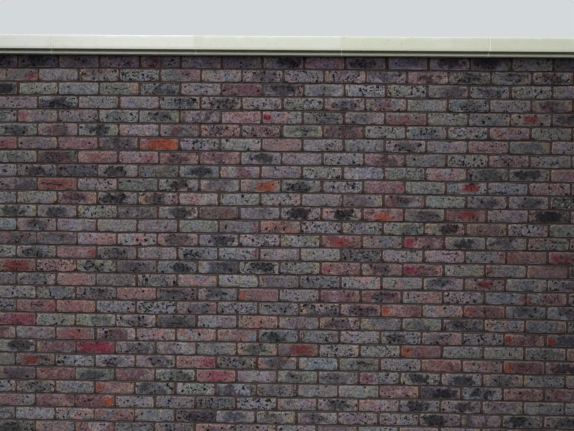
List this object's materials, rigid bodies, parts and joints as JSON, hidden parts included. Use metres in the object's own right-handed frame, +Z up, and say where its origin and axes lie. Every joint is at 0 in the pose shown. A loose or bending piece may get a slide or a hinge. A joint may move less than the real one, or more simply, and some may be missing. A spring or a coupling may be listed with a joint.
{
  "type": "brick garden wall",
  "caption": "Free-standing garden wall of multicoloured facing bricks in stretcher bond, with dark recessed joints, stopped ends and a pale weathered stone coping.",
  "frame": {"origin": "centre of the wall's footprint, on the ground under the first course", "axes": "+X along the wall, +Y from the front face to the back face, +Z up; the front face looks towards -Y"},
  "size_m": [4.837, 0.4494, 2.5108],
  "materials": {
    "facing_brick": "multicoloured facing brick, grey, mauve and plum with orange and red ones among them, creased and flecked with black",
    "joint_mortar": "dark grey-brown mortar, finished with a round jointing bar",
    "pale_mortar": "pale cream mortar",
    "cast_stone": "smooth cream cast stone, lightly weathered",
    "dpc_sheet": "matt black bituminous sheet"
  },
  "bodies": {
    "root": {"course_01": "facing_brick", "course_02": "facing_brick", "course_03": "facing_brick", "course_04": "facing_brick", "course_05": "facing_brick", "course_06": "facing_brick", "course_07": "facing_brick", "course_08": "facing_brick", "course_09": "facing_brick", "course_10": "facing_brick", "course_11": "facing_brick", "course_12": "facing_brick", "course_13": "facing_brick", "course_14": "facing_brick", "course_15": "facing_brick", "course_16": "facing_brick", "course_17": "facing_brick", "course_18": "facing_brick", "course_19": "facing_brick", "course_20": "facing_brick", "course_21": "facing_brick", "course_22": "facing_brick", "course_23": "facing_brick", "course_24": "facing_brick", "course_25": "facing_brick", "course_26": "facing_brick", "course_27": "facing_brick", "course_28": "facing_brick", "course_29": "facing_brick", "course_30": "facing_brick", "course_31": "facing_brick", "course_32": "facing_brick", "bed_joints": "joint_mortar", "damp_proof_course": "dpc_sheet", "coping_bed": "pale_mortar", "coping_stone_1": "cast_stone", "coping_stone_2": "cast_stone", "coping_stone_3": "cast_stone", "coping_stone_4": "cast_stone", "coping_stone_5": "cast_stone", "coping_stone_6": "cast_stone", "coping_joints": "pale_mortar"}
  },
  "joints": []
}
